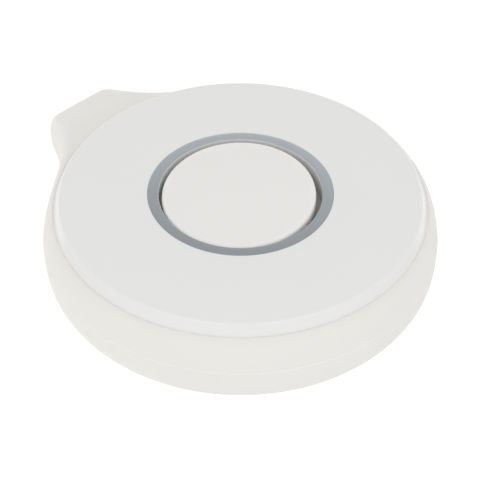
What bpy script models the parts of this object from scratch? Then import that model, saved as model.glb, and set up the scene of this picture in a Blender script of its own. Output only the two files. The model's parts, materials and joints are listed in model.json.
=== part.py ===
"""Round push button in a soft sleeve with a cord lug: one solid for each piece, in metres, +Z up.

The front cover's axis is Z, the underside rests on Z = 0 and the cord lug points along +Y.
"""

import math

import bmesh
import bpy
import numpy as np

MM = 0.001

# Clearances
FIT = 0.3 * MM  # between pieces that are assembled and then stay put
TRIM_FIT = 0.15 * MM  # where a gap shows on the front
SOLDER = 0.1 * MM  # under a piece that is soldered to the board

# Front cover
FRONT_DEPTH = 6.4 * MM  # from the circuit board up to the front
DECK_WIDTH = 12.13 * MM  # flat of the front, from the light ring to the rim
COVER_RIM_FLARE = 0.95 * MM  # the rim's slope, outwards
COVER_RIM_DROP = 1.63 * MM  # the rim's slope, downwards
COVER_EDGE = 0.45 * MM  # rounding where the flat meets the rim
COVER_WALL = 1.5 * MM
SKIRT_LENGTH = 3.2 * MM  # the wall that plugs into the housing
SKIRT_WALL = 1.8 * MM

# Button and light ring
BUTTON_RADIUS = 10.66 * MM
BUTTON_GAP = 0.76 * MM  # to the light ring, all round when centred
BUTTON_OFFSET = 0.66 * MM  # the button sits this far off centre in its gap
BUTTON_OFFSET_WAY = math.radians(205.0)  # towards here, round from +X
BUTTON_PROUD = 0.52 * MM  # above the front
BUTTON_EDGE = 0.46 * MM
BUTTON_WALL = 1.4 * MM
BUTTON_TRAVEL = 0.5 * MM
FLANGE_GRIP = 1.0 * MM  # how far the button's flange reaches under the light ring
FLANGE_THICKNESS = 0.7 * MM
PUSHER_RADIUS = 2.2 * MM
PUSHER_LENGTH = 1.12 * MM
PUSH_PLAY = 0.1 * MM  # between the pusher and the switch's stem
RING_WIDTH = 1.5 * MM
RING_DEPTH = 2.5 * MM  # front to the step that stops the button
RING_EDGE = 0.2 * MM
RING_LIP = 0.3 * MM  # how far the flange under the cover reaches beyond the light guide
RING_LIP_THICKNESS = 0.9 * MM
GUIDE_WALL = 1.4 * MM

# Soft sleeve
SHOULDER_WIDTH = 1.87 * MM  # from the cover's rim out to the widest line
SHOULDER_POWER = 1.63  # roundness of the shoulder
BELLY_HEIGHT = 5.94 * MM  # height of the widest line
BELLY_POWER = 3.4  # roundness below it
FOOT_WIDTH = 3.2 * MM  # the flat ring that the sleeve stands on
SLEEVE_LIP = 1.45 * MM  # the sleeve's rim under the cover
SLEEVE_FLOOR = 1.3 * MM

# Cord lug, at the widest line
LUG_REACH = 36.89 * MM  # from the cover's axis to the lug's end
LUG_END_WIDTH = 10.44 * MM
LUG_FLARE = math.radians(25.06)
LUG_CORNER = 1.0 * MM  # rounding of its outer corners
LUG_FILLET = 5.5 * MM  # rounding where it grows out of the sleeve
LUG_UNDERSIDE = 3.47 * MM  # height of its underside
LUG_DROP = 1.53 * MM  # how far its top slopes down to its end
LUG_POWER = 8.5  # squareness of its edges
EYE_WIDTH = 5.4 * MM
EYE_HEIGHT = 2.2 * MM
EYE_BAR = 1.2 * MM  # radius of the bar that the cord goes round
EYE_BAR_INSET = 1.5 * MM  # from the lug's end and underside to the bar's centre

# Battery and its door
CELL_RADIUS = 10.0 * MM
CELL_THICKNESS = 3.2 * MM
CELL_EDGE = 0.4 * MM
CELL_PLAY = 0.4 * MM
CONTACT_SPACE = 0.8 * MM  # from the cell up to the board
CONTACT_SHEET = 0.2 * MM
CONTACT_WIDTH = 4.0 * MM
DOOR_RECESS = 0.3 * MM  # above the surface that the sleeve stands on
DOOR_THICKNESS = 1.4 * MM
DOOR_SEAT = 1.5 * MM  # width of the door's rim outside its spigot
SPIGOT_WALL = 1.2 * MM
SPIGOT_HEIGHT = 1.6 * MM
TAB_REACH = 0.9 * MM
TAB_HEIGHT = 0.6 * MM
TAB_SPAN = math.radians(26.0)
TAB_COUNT = 3
TAB_PLAY = math.radians(5.0)  # how much wider a notch is than its tab
DOOR_TURN = math.radians(35.0)  # from shut to where the tabs meet their notches
GRIP_BAR = 3.2 * MM
GRIP_RADIUS = 8.6 * MM
GRIP_DEPTH = 0.8 * MM
DOOR_SEAL_SECTION = 0.32 * MM

# Housing
HOUSING_WALL = 1.5 * MM
HOUSING_FLOOR = 1.4 * MM
HOUSING_CHAMFER = 1.0 * MM
PLUG_WALL = 2.5 * MM  # round the door, through the sleeve's floor
LEDGE = 0.4 * MM  # the ledge that the door's tabs hook over
COVER_SEAL_SECTION = 0.4 * MM

# Screws
SCREW_COUNT = 4
SCREW_RADIUS = 0.9 * MM
SCREW_HEAD_RADIUS = 1.8 * MM
SCREW_HEAD_HEIGHT = 1.0 * MM
SCREW_SOCKET = 1.6 * MM  # across the flats of the square socket
BOSS_WALL = 0.8 * MM

# Circuit board and what it carries
BOARD_THICKNESS = 1.0 * MM
BOARD_PLAY = 0.5 * MM
SWITCH_SIZE = 6.2 * MM
STEM_RADIUS = 1.75 * MM
STEM_SHOWS = 1.0 * MM
STEM_DEPTH = 1.2 * MM  # the stem's guided length inside the switch
CARRIER_WALL = 1.0 * MM
SEAL_SHEET = 0.45 * MM
SEAL_DIP = 0.35 * MM
SEAL_BEAD = 1.1 * MM  # width of the flat part under the button
LED_COUNT = 4
LED_SIZE = (0.9 * MM, 1.8 * MM, 0.6 * MM)
RADIO_SIZE = (4.6 * MM, 8.0 * MM, 1.4 * MM)
CHIP_SIZE = (4.0 * MM, 4.0 * MM, 0.9 * MM)
CRYSTAL_SIZE = (2.5 * MM, 3.2 * MM, 0.8 * MM)
CAPACITOR_SIZE = (2.8 * MM, 3.5 * MM, 1.9 * MM)
ANTENNA_WIDTH = 0.8 * MM
ANTENNA_HEIGHT = 1.2 * MM
ANTENNA_SPAN = math.radians(56.0)

# Facets
FINE_SIDES = 48
SIDES = 36
SMALL_SIDES = 12
SECTION_SIDES = 6
SLEEVE_COLUMNS = 72
SHOULDER_ROWS = 8
FOOT_ROWS = 5
LUG_CROWDING = 0.4  # how much closer the columns stand at the lug
OUTLINE_HALVINGS = 40  # steps of the search for the lug's outline

# Heights that follow from the sizes above, from the underside up
door_top = DOOR_RECESS + DOOR_THICKNESS
cell_bottom = door_top + FIT
cell_top = cell_bottom + CELL_THICKNESS
board_bottom = cell_top + CONTACT_SPACE
board_top = board_bottom + BOARD_THICKNESS
on_board = board_top + SOLDER
under_board = board_bottom - SOLDER
front = board_top + FRONT_DEPTH
housing_bottom = SLEEVE_FLOOR + FIT
floor_top = housing_bottom + HOUSING_FLOOR
rim_height = front - COVER_RIM_DROP
cover_inside = front - COVER_WALL
button_top = front + BUTTON_PROUD
button_inside = button_top - BUTTON_WALL
ring_step = front - RING_DEPTH
flange_top = ring_step - FIT
flange_bottom = flange_top - FLANGE_THICKNESS
stem_top = button_inside - PUSHER_LENGTH - PUSH_PLAY
switch_top = stem_top - STEM_SHOWS
stem_bottom = switch_top - STEM_DEPTH

# Radii that follow, from the middle out
ring_inner = BUTTON_RADIUS + BUTTON_GAP
ring_outer = ring_inner + RING_WIDTH
flange_radius = ring_inner + FLANGE_GRIP
guide_inner = flange_radius + BUTTON_OFFSET + FIT
guide_outer = guide_inner + GUIDE_WALL
lip_outer = guide_outer + RING_LIP
spigot_inner = CELL_RADIUS + CELL_PLAY
spigot_outer = spigot_inner + SPIGOT_WALL
ledge_radius = spigot_outer + FIT
tab_radius = ledge_radius + TAB_REACH
door_radius = spigot_outer + DOOR_SEAT
door_hole = door_radius + FIT
plug_radius = door_hole + PLUG_WALL
sleeve_hole = plug_radius + FIT
foot_radius = sleeve_hole + FOOT_WIDTH
deck_hole = ring_outer + TRIM_FIT
deck_radius = deck_hole + DECK_WIDTH
rim_radius = deck_radius + COVER_RIM_FLARE
body_radius = rim_radius + SHOULDER_WIDTH
cavity_radius = rim_radius - SLEEVE_LIP
housing_radius = cavity_radius - FIT
housing_inner = housing_radius - HOUSING_WALL
skirt_outer = housing_inner - FIT
skirt_inner = skirt_outer - SKIRT_WALL
board_radius = housing_inner - BOARD_PLAY
screw_hole = SCREW_RADIUS + FIT
boss_radius = screw_hole + BOSS_WALL
screw_circle = skirt_inner - boss_radius - FIT

# Colour, roughness and metallic value of each finish
FINISHES = {
    "silicone": ((0.80, 0.79, 0.76), 0.62, 0.0),
    "gloss_white": ((0.77, 0.77, 0.76), 0.16, 0.0),
    "satin_white": ((0.79, 0.78, 0.77), 0.38, 0.0),
    "smoke_diffuser": ((0.32, 0.36, 0.39), 0.35, 0.0),
    "shell_white": ((0.72, 0.72, 0.70), 0.50, 0.0),
    "seal_rubber": ((0.06, 0.06, 0.06), 0.70, 0.0),
    "board_green": ((0.03, 0.16, 0.08), 0.45, 0.0),
    "black_resin": ((0.03, 0.03, 0.03), 0.50, 0.0),
    "light_resin": ((0.85, 0.82, 0.60), 0.25, 0.0),
    "tinned_steel": ((0.62, 0.62, 0.61), 0.30, 1.0),
    "gilt_metal": ((0.75, 0.58, 0.26), 0.30, 1.0),
}


def clear_scene():
    """Remove whatever the scene holds."""
    for thing in list(bpy.data.objects):
        bpy.data.objects.remove(thing, do_unlink=True)


def make_finish(name, finish):
    """A Principled material of this piece's own, from the finish's colour, roughness and metallic value."""
    colour, roughness, metallic = FINISHES[finish]
    material = bpy.data.materials.new(name)
    material.use_nodes = True
    shader = material.node_tree.nodes["Principled BSDF"]
    shader.inputs["Base Color"].default_value = (*colour, 1.0)
    shader.inputs["Roughness"].default_value = roughness
    shader.inputs["Metallic"].default_value = metallic
    material.diffuse_color = (*colour, 1.0)
    return material


def add_axis(name, place=(0.0, 0.0, 0.0), parent=None):
    """An empty that carries the pieces of one moving body, or the whole assembly."""
    empty = bpy.data.objects.new(name, None)
    empty.empty_display_size = BUTTON_RADIUS
    empty.location = place
    empty.parent = parent
    bpy.context.scene.collection.objects.link(empty)
    return empty


def add_piece(name, bm, finish, parent, place=(0.0, 0.0, 0.0), turn=0.0):
    """Turn a bmesh into a named object with outward faces, its finish and its place under its parent."""
    bmesh.ops.recalc_face_normals(bm, faces=bm.faces)
    mesh = bpy.data.meshes.new(name)
    bm.to_mesh(mesh)
    bm.free()
    mesh.shade_smooth()
    mesh.set_sharp_from_angle(angle=math.radians(30.0))
    piece = bpy.data.objects.new(name, mesh)
    piece.location = place
    piece.rotation_euler.z = turn
    piece.parent = parent
    if finish is not None:
        mesh.materials.append(make_finish(name, finish))
    bpy.context.scene.collection.objects.link(piece)
    return piece


def combine(target, other, operation):
    """Cut or join another object with an exact Boolean, and keep that object out of the render."""
    modifier = target.modifiers.new(other.name, "BOOLEAN")
    modifier.operation = operation
    modifier.solver = "EXACT"
    modifier.object = other
    other.hide_render = True
    other.display_type = "WIRE"


def skin(rings, closed):
    """A bmesh skinned over a row of rings of points; a ring of one point is a pole."""
    bm = bmesh.new()
    loops = [[bm.verts.new(point) for point in ring] for ring in rings]
    following = loops[1:] + loops[:1] if closed else loops[1:]
    for loop, after in zip(loops, following):
        for k in range(max(len(loop), len(after))):
            corners = [loop[k % len(loop)], loop[(k + 1) % len(loop)]]
            corners += [after[(k + 1) % len(after)], after[k % len(after)]]
            bm.faces.new(list(dict.fromkeys(corners)))
    return bm


def turned(profile, sides):
    """A bmesh turned round Z from (radius, height) points: a loop, or a line from axis to axis."""
    turn = 2 * math.pi / sides
    rings = [
        [(r * math.cos(k * turn), r * math.sin(k * turn), z) for k in range(sides if r else 1)]
        for r, z in profile
    ]
    return skin(rings, closed=profile[0][0] > 0)


def extruded(outline, low, high):
    """A bmesh of a flat outline of (x, y) points carried from one height to another."""
    return skin_capped([[(x, y, z) for x, y in outline] for z in (low, high)])


def skin_capped(rings):
    """A bmesh skinned over rings whose first and last are closed with a face."""
    bm = skin(rings, closed=False)
    bm.verts.ensure_lookup_table()
    count = len(rings[0])
    bm.faces.new(bm.verts[:count])
    bm.faces.new(bm.verts[-count:])
    return bm


def arc(centre, radius, start, end, steps):
    """Points along an arc of a circle, both ends included."""
    angles = np.linspace(start, end, steps + 1)
    return [(centre[0] + radius * math.cos(a), centre[1] + radius * math.sin(a)) for a in angles]


def sector(inner, outer, middle, span, steps=6):
    """Outline of a piece of a ring: between two radii, this wide about a middle angle."""
    start = middle - span / 2
    end = middle + span / 2
    return arc((0, 0), outer, start, end, steps) + arc((0, 0), inner, end, start, steps)


def round_section(radius, height, section):
    """Profile of a round seal ring."""
    last = 2 * math.pi * (1 - 1 / SECTION_SIDES)
    return arc((radius, height), section, 0.0, -last, SECTION_SIDES - 1)


def rounded(corner, reach, before, after, steps=3):
    """Points of a corner rounded between two unit directions: the way in from and the way out to."""
    start = np.array(corner) + reach * np.array(before)
    end = np.array(corner) + reach * np.array(after)
    t = np.linspace(0.0, 1.0, steps + 1)[:, None]
    curve = (1 - t) ** 2 * start + 2 * t * (1 - t) * np.array(corner) + t**2 * end
    return [tuple(point) for point in curve]


def block(name, size, finish, parent, radius, angle, base):
    """A rectangular piece standing on a height, at a radius and angle, turned to face the middle."""
    x, y, z = size
    outline = [(-x / 2, -y / 2), (x / 2, -y / 2), (x / 2, y / 2), (-x / 2, y / 2)]
    place = (radius * math.cos(angle), radius * math.sin(angle), base)
    return add_piece(name, extruded(outline, 0.0, z), finish, parent, place, angle)


def smooth_max(a, b, reach):
    """The larger of two distances, rounded where they are nearer to each other than reach."""
    near = np.maximum(reach - np.abs(a - b), 0.0) / reach
    return np.maximum(a, b) + near**2 * reach / 4


def lug_distance(x, y):
    """Distance of plan points outside the sleeve's widest outline: a disc joined to a flared lug."""
    flank = (np.abs(x) - LUG_END_WIDTH / 2) * math.cos(LUG_FLARE)
    flank += (y - LUG_REACH) * math.sin(LUG_FLARE)
    lug = np.maximum(smooth_max(y - LUG_REACH, flank, LUG_CORNER), -y)
    disc = np.hypot(x, y) - body_radius
    return -smooth_max(-disc, -lug, LUG_FILLET)


def widest_outline(angles):
    """Radius of the widest outline at each angle, by halving between the disc and past the lug."""
    low = np.full_like(angles, body_radius / 2)
    high = np.full_like(angles, LUG_REACH + LUG_END_WIDTH)
    for _ in range(OUTLINE_HALVINGS):
        middle = (low + high) / 2
        inside = lug_distance(middle * np.cos(angles), middle * np.sin(angles)) < 0
        low = np.where(inside, middle, low)
        high = np.where(inside, high, middle)
    return low


def bulge(share, power):
    """Quarter of a rounded square: 1 at share 0, falling to 0 at share 1."""
    return np.maximum(1.0 - share**power, 0.0) ** (1.0 / power)


def sleeve_rows():
    """Each outer row's height and radius, and its shares of the lug's reach and of the lug's slope."""
    lip_top = rim_height - TRIM_FIT
    crowd = np.sqrt(np.sin(np.linspace(math.pi / 2, 0.0, SHOULDER_ROWS)))
    upper = BELLY_HEIGHT + (lip_top - BELLY_HEIGHT) * crowd
    belly = BELLY_HEIGHT + (LUG_UNDERSIDE - BELLY_HEIGHT) * crowd[::-1][1:-1]
    lower = LUG_UNDERSIDE * np.linspace(1.0, 0.0, FOOT_ROWS + 1) ** 2
    rise = (upper - BELLY_HEIGHT) / (lip_top - BELLY_HEIGHT)
    fall = 1.0 - np.concatenate([belly, lower]) / BELLY_HEIGHT
    drop = (BELLY_HEIGHT - belly) / (BELLY_HEIGHT - LUG_UNDERSIDE)
    heights = np.concatenate([upper, belly, lower])
    radii = np.concatenate([
        rim_radius + SHOULDER_WIDTH * bulge(rise, SHOULDER_POWER),
        foot_radius + (body_radius - foot_radius) * bulge(fall, BELLY_POWER),
    ])
    lug = np.concatenate([bulge(rise, LUG_POWER), bulge(drop, LUG_POWER), np.zeros(len(lower))])
    slope = np.concatenate([rise, np.zeros(len(fall))])
    return heights, radii, lug, slope


def make_soft_sleeve(parent):
    """The soft sleeve: a turned bowl whose outside swells into the lug, with the cord's eye cut through."""
    way = np.linspace(-1.0, 1.0, SLEEVE_COLUMNS, endpoint=False)
    angles = math.pi / 2 + math.pi * ((1 - LUG_CROWDING) * way + LUG_CROWDING * way**3)
    reach = widest_outline(angles) - body_radius
    heights, radii, lug, slope = sleeve_rows()
    swell = lug[:, None] * reach
    radius = radii[:, None] + swell
    level = heights[:, None] - LUG_DROP * slope[:, None] * swell / reach.max()
    rings = [np.stack([r * np.cos(angles), r * np.sin(angles), z], axis=1) for r, z in zip(radius, level)]
    inside = [(sleeve_hole, 0.0), (sleeve_hole, SLEEVE_FLOOR), (cavity_radius, SLEEVE_FLOOR)]
    inside += [(cavity_radius, heights[0])]
    rings += [np.stack([r * np.cos(angles), r * np.sin(angles), np.full_like(angles, z)], axis=1)
              for r, z in inside]
    sleeve = add_piece("soft_sleeve", skin(rings, closed=True), "silicone", parent)
    combine(sleeve, make_eye(parent), "DIFFERENCE")


def make_eye(parent):
    """The eye's cutter: in at the lug's end, round a bar, and out at its underside."""
    centre = (LUG_REACH - EYE_BAR_INSET, LUG_UNDERSIDE + EYE_BAR_INSET)
    past = LUG_END_WIDTH
    inner = arc(centre, EYE_BAR, math.pi / 2, math.pi, 6)
    outer = arc(centre, EYE_BAR + EYE_HEIGHT, math.pi, math.pi / 2, 8)
    outline = [(centre[0] + past, inner[0][1])] + inner + [(inner[-1][0], centre[1] - past)]
    outline += [(outer[0][0], centre[1] - past)] + outer + [(centre[0] + past, outer[-1][1])]
    rings = [[(x, y, z) for y, z in outline] for x in (-EYE_WIDTH / 2, EYE_WIDTH / 2)]
    return add_piece("eye_cutter", skin_capped(rings), None, parent)


def make_front_cover(parent):
    """The front cover: a disc with a sloped rim, a skirt with the seal's groove, and screw bosses."""
    slope = np.array([COVER_RIM_FLARE, -COVER_RIM_DROP]) / math.hypot(COVER_RIM_FLARE, COVER_RIM_DROP)
    skirt_bottom = rim_height - SKIRT_LENGTH
    groove = cover_groove()
    profile = [(deck_hole, front)]
    profile += rounded((deck_radius, front), COVER_EDGE, (-1, 0), slope)
    profile += [(rim_radius, rim_height), (skirt_outer, rim_height), *groove]
    profile += [(skirt_outer, skirt_bottom), (skirt_inner, skirt_bottom)]
    profile += [(skirt_inner, cover_inside), (deck_hole, cover_inside)]
    cover = add_piece("front_cover", turned(profile, FINE_SIDES), "gloss_white", parent)
    boss_bottom = board_top + FIT
    boss_top = cover_inside + COVER_WALL / 2
    for k, place in enumerate(screw_places()):
        boss = [(0, boss_top), (boss_radius, boss_top), (boss_radius, boss_bottom), (0, boss_bottom)]
        combine(cover, add_piece(f"boss_{k}", turned(boss, SMALL_SIDES), None, parent, place), "UNION")
    for k, place in enumerate(screw_places()):
        pilot = [(0, cover_inside), (screw_hole, cover_inside), (screw_hole, board_bottom), (0, board_bottom)]
        cutter = add_piece(f"pilot_{k}", turned(pilot, SMALL_SIDES), None, parent, place)
        combine(cover, cutter, "DIFFERENCE")


def cover_groove():
    """The seal's groove in the skirt, top to bottom: as deep as the seal is thick."""
    middle = rim_height - SKIRT_LENGTH / 2
    half = COVER_SEAL_SECTION + FIT / 2
    floor = skirt_outer - 2 * COVER_SEAL_SECTION
    return [(skirt_outer, middle + half), (floor, middle + half), (floor, middle - half),
            (skirt_outer, middle - half)]


def screw_places():
    """Where the screws stand, in plan, clear of the lug's axis."""
    turn = 2 * math.pi / SCREW_COUNT
    angles = [turn * (k + 0.5) for k in range(SCREW_COUNT)]
    return [(screw_circle * math.cos(a), screw_circle * math.sin(a), 0.0) for a in angles]


def make_light_ring(parent):
    """The light ring: flush with the front, a lip under the cover, and a guide down to the lights."""
    lip_top = cover_inside - TRIM_FIT
    lip_bottom = lip_top - RING_LIP_THICKNESS
    guide_bottom = on_board + LED_SIZE[2] + FIT
    profile = rounded((ring_inner, front), RING_EDGE, (0, -1), (1, 0), 2)
    profile += [(ring_outer, front), (ring_outer, lip_top), (lip_outer, lip_top)]
    profile += [(lip_outer, lip_bottom), (guide_outer, lip_bottom), (guide_outer, guide_bottom)]
    profile += [(guide_inner, guide_bottom), (guide_inner, ring_step), (ring_inner, ring_step)]
    add_piece("light_ring", turned(profile, FINE_SIDES), "smoke_diffuser", parent)


def make_button_cap(parent):
    """The button: a hollow cap with a flange that the light ring stops, and a pusher over the switch."""
    wall_inner = BUTTON_RADIUS - BUTTON_WALL
    pusher_bottom = button_inside - PUSHER_LENGTH
    profile = [(0, button_top)]
    profile += rounded((BUTTON_RADIUS, button_top), BUTTON_EDGE, (-1, 0), (0, -1))
    profile += [(BUTTON_RADIUS, flange_top), (flange_radius, flange_top), (flange_radius, flange_bottom)]
    profile += [(wall_inner, flange_bottom), (wall_inner, button_inside), (PUSHER_RADIUS, button_inside)]
    profile += [(PUSHER_RADIUS, pusher_bottom), (0, pusher_bottom)]
    add_piece("button_cap", turned(profile, FINE_SIDES), "satin_white", parent)


def make_button_seal(parent):
    """The soft diaphragm: an inner bead under the button, a sloped web and an outer bead on its carrier."""
    top = flange_bottom - FIT
    low = top - SEAL_DIP
    inner = BUTTON_RADIUS - BUTTON_WALL + BUTTON_OFFSET
    outer = guide_inner - FIT
    knee = inner + SEAL_BEAD
    foot = outer - CARRIER_WALL
    profile = [(inner, top), (knee, top), (foot, low), (outer, low), (outer, low - SEAL_SHEET)]
    profile += [(foot, low - SEAL_SHEET), (knee, top - SEAL_SHEET), (inner, top - SEAL_SHEET)]
    add_piece("button_seal", turned(profile, SIDES), "seal_rubber", parent)
    carrier_top = low - SEAL_SHEET - FIT
    carrier = [(outer, carrier_top), (outer, on_board), (foot, on_board), (foot, carrier_top)]
    add_piece("seal_carrier", turned(carrier, SIDES), "black_resin", parent)


def make_switch(parent, stem_parent):
    """The push switch: a square body with a blind bore, and the stem that slides in it."""
    body = block("switch_body", (SWITCH_SIZE, SWITCH_SIZE, switch_top - on_board), "black_resin",
                 parent, BUTTON_OFFSET, BUTTON_OFFSET_WAY, on_board)
    bore = STEM_RADIUS + FIT / 2
    bore_floor = stem_bottom - BUTTON_TRAVEL - FIT
    profile = [(0, stem_top), (bore, stem_top), (bore, bore_floor), (0, bore_floor)]
    cutter = add_piece("stem_bore", turned(profile, SMALL_SIDES), None, stem_parent)
    combine(body, cutter, "DIFFERENCE")
    stem = [(0, stem_top), (STEM_RADIUS, stem_top), (STEM_RADIUS, stem_bottom), (0, stem_bottom)]
    add_piece("switch_stem", turned(stem, SMALL_SIDES), "satin_white", stem_parent)


def make_board(parent):
    """The circuit board with its screw holes, and the pieces soldered to it."""
    profile = [(0, board_top), (board_radius, board_top), (board_radius, board_bottom), (0, board_bottom)]
    board = add_piece("circuit_board", turned(profile, SIDES), "board_green", parent)
    through = [(0, on_board), (screw_hole, on_board), (screw_hole, under_board), (0, under_board)]
    for k, place in enumerate(screw_places()):
        cutter = add_piece(f"board_hole_{k}", turned(through, SMALL_SIDES), None, parent, place)
        combine(board, cutter, "DIFFERENCE")
    under_guide = (guide_inner + guide_outer) / 2
    for k in range(LED_COUNT):
        angle = 2 * math.pi * k / LED_COUNT
        block(f"led_{k + 1}", LED_SIZE, "light_resin", parent, under_guide, angle, on_board)
    outside = (guide_outer + skirt_inner) / 2
    inside = (SWITCH_SIZE / 2 + guide_inner - CARRIER_WALL) / 2
    block("radio_module", RADIO_SIZE, "tinned_steel", parent, outside, math.pi / 2, on_board)
    block("microcontroller", CHIP_SIZE, "black_resin", parent, inside, math.pi * 1.5, on_board)
    block("supply_capacitor", CAPACITOR_SIZE, "black_resin", parent, outside, 0.0, on_board)
    block("crystal", CRYSTAL_SIZE, "tinned_steel", parent, outside, math.pi * 1.5, on_board)
    antenna_inner = skirt_inner - FIT - ANTENNA_WIDTH
    outline = sector(antenna_inner, antenna_inner + ANTENNA_WIDTH, math.pi, ANTENNA_SPAN, 12)
    antenna = extruded(outline, on_board, on_board + ANTENNA_HEIGHT)
    add_piece("antenna", antenna, "gilt_metal", parent)


def make_cell(parent):
    """The coin cell, with its rounded rim, and the two sheet springs under the board that touch it."""
    profile = [(0, cell_top), (CELL_RADIUS - CELL_EDGE, cell_top), (CELL_RADIUS, cell_top - CELL_EDGE)]
    profile += [(CELL_RADIUS, cell_bottom + CELL_EDGE), (CELL_RADIUS - CELL_EDGE, cell_bottom)]
    profile += [(0, cell_bottom)]
    add_piece("coin_cell", turned(profile, SIDES), "tinned_steel", parent)
    sheet = CONTACT_SHEET
    near = CELL_RADIUS + sheet
    foot = near + CONTACT_WIDTH
    arm_bottom = door_top + SPIGOT_HEIGHT + FIT
    clip = [(near, arm_bottom), (near + sheet, arm_bottom), (near + sheet, under_board - sheet)]
    clip += [(foot, under_board - sheet), (foot, under_board), (near, under_board)]
    make_strip("positive_contact", clip, 0.0, parent)
    touch = cell_top + SOLDER
    arm = CELL_RADIUS / 2
    leaf = [(-arm, under_board), (-arm, under_board - sheet), (-arm / 2, under_board - sheet)]
    leaf += [(arm / 2, touch), (arm, touch + sheet), (arm, touch + 2 * sheet), (arm / 2, touch + sheet)]
    leaf += [(-arm / 2, under_board)]
    make_strip("negative_contact", leaf, math.pi / 2, parent)


def make_strip(name, outline, angle, parent):
    """A bent sheet spring: an outline of (radius, height) points, as wide as the contacts are."""
    rings = [[(r, y, z) for r, z in outline] for y in (-CONTACT_WIDTH / 2, CONTACT_WIDTH / 2)]
    add_piece(name, skin_capped(rings), "gilt_metal", parent, turn=angle)


def tab_angles(turn):
    """Middle angles of the door's tabs, turned by this much from shut."""
    return [2 * math.pi * k / TAB_COUNT + turn for k in range(TAB_COUNT)]


def make_rear_housing(parent):
    """The hard tub: a plug round the door, a ledge for its tabs, and posts for the screws."""
    ledge_bottom = door_top + FIT
    ledge_top = ledge_bottom + LEDGE
    tab_space = tab_radius + FIT
    rim = rim_height - FIT
    profile = [(housing_radius, rim), (housing_radius, housing_bottom + HOUSING_CHAMFER)]
    profile += [(housing_radius - HOUSING_CHAMFER, housing_bottom), (plug_radius, housing_bottom)]
    profile += [(plug_radius, DOOR_RECESS), (door_hole, DOOR_RECESS), (door_hole, ledge_bottom)]
    profile += [(ledge_radius, ledge_bottom), (ledge_radius, ledge_top), (tab_space, ledge_top)]
    profile += [(tab_space, floor_top), (housing_inner, floor_top), (housing_inner, rim)]
    housing = add_piece("rear_housing", turned(profile, FINE_SIDES), "shell_white", parent)
    for k, angle in enumerate(tab_angles(-DOOR_TURN)):
        notch = sector(spigot_outer, tab_space, angle, TAB_SPAN + TAB_PLAY)
        cutter = extruded(notch, ledge_bottom - LEDGE, ledge_top + LEDGE)
        combine(housing, add_piece(f"notch_{k}", cutter, None, parent), "DIFFERENCE")
    head = SCREW_HEAD_RADIUS + FIT
    seat = housing_bottom + SCREW_HEAD_HEIGHT + FIT
    post_top = board_bottom - FIT
    post_wall = head + BOSS_WALL / 2
    post = [(0, post_top), (post_wall, post_top), (post_wall, housing_bottom + FIT)]
    post += [(0, housing_bottom + FIT)]
    bore = [(0, board_top), (screw_hole, board_top), (screw_hole, seat), (head, seat), (head, 0), (0, 0)]
    for k, place in enumerate(screw_places()):
        solid = add_piece(f"post_{k}", turned(post, SMALL_SIDES), None, parent, place)
        combine(housing, solid, "UNION")
        cutter = add_piece(f"post_bore_{k}", turned(bore, SMALL_SIDES), None, parent, place)
        combine(housing, cutter, "DIFFERENCE")


def make_battery_door(parent):
    """The door: a plate with a seal groove, a spigot round the cell, tabs, and a grip bar to turn it by."""
    groove_outer = door_radius - FIT
    groove_inner = groove_outer - 2 * DOOR_SEAL_SECTION - FIT
    groove_floor = door_top - 2 * DOOR_SEAL_SECTION + FIT / 2
    spigot_top = door_top + SPIGOT_HEIGHT
    profile = [(0, door_top), (spigot_inner, door_top), (spigot_inner, spigot_top)]
    profile += [(spigot_outer, spigot_top), (spigot_outer, door_top), (groove_inner, door_top)]
    profile += [(groove_inner, groove_floor), (groove_outer, groove_floor), (groove_outer, door_top)]
    profile += [(door_radius, door_top), (door_radius, DOOR_RECESS), (0, DOOR_RECESS)]
    door = add_piece("battery_door", turned(profile, SIDES), "shell_white", parent)
    for k, angle in enumerate(tab_angles(0.0)):
        tab = sector((spigot_inner + spigot_outer) / 2, tab_radius, angle, TAB_SPAN)
        solid = extruded(tab, spigot_top - TAB_HEIGHT, spigot_top - FIT / 2)
        combine(door, add_piece(f"tab_{k}", solid, None, parent), "UNION")
    reach = math.acos(GRIP_BAR / 2 / GRIP_RADIUS)
    for k, side in enumerate((math.pi / 2, -math.pi / 2)):
        scoop = arc((0, 0), GRIP_RADIUS, side - reach, side + reach, 12)
        solid = extruded(scoop, 0.0, DOOR_RECESS + GRIP_DEPTH)
        combine(door, add_piece(f"scoop_{k}", solid, None, parent), "DIFFERENCE")
    seal_radius = (groove_inner + groove_outer) / 2
    seal_height = groove_floor + DOOR_SEAL_SECTION + SOLDER
    seal = turned(round_section(seal_radius, seal_height, DOOR_SEAL_SECTION), SIDES)
    add_piece("door_seal", seal, "seal_rubber", parent)


def make_cover_seal(parent):
    """The ring that seals the cover's skirt in the housing."""
    radius = skirt_outer - 2 * COVER_SEAL_SECTION + FIT / 2 + COVER_SEAL_SECTION
    section = round_section(radius, rim_height - SKIRT_LENGTH / 2, COVER_SEAL_SECTION)
    add_piece("cover_seal", turned(section, SIDES), "seal_rubber", parent)


def make_screws(parent):
    """The screws: flat heads with a square socket, up through posts and board into the cover's bosses."""
    head_bottom = housing_bottom
    head_top = head_bottom + SCREW_HEAD_HEIGHT
    tip = cover_inside - FIT
    profile = [(0, tip), (SCREW_RADIUS, tip - SCREW_RADIUS), (SCREW_RADIUS, head_top)]
    profile += [(SCREW_HEAD_RADIUS, head_top), (SCREW_HEAD_RADIUS, head_bottom), (0, head_bottom)]
    half = SCREW_SOCKET / 2
    outline = [(-half, -half), (half, -half), (half, half), (-half, half)]
    for k, place in enumerate(screw_places()):
        screw = add_piece(f"screw_{k + 1}", turned(profile, SMALL_SIDES), "tinned_steel", parent, place)
        socket = extruded(outline, 0.0, head_bottom + SCREW_HEAD_HEIGHT / 2)
        combine(screw, add_piece(f"socket_{k}", socket, None, parent, place), "DIFFERENCE")


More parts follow.
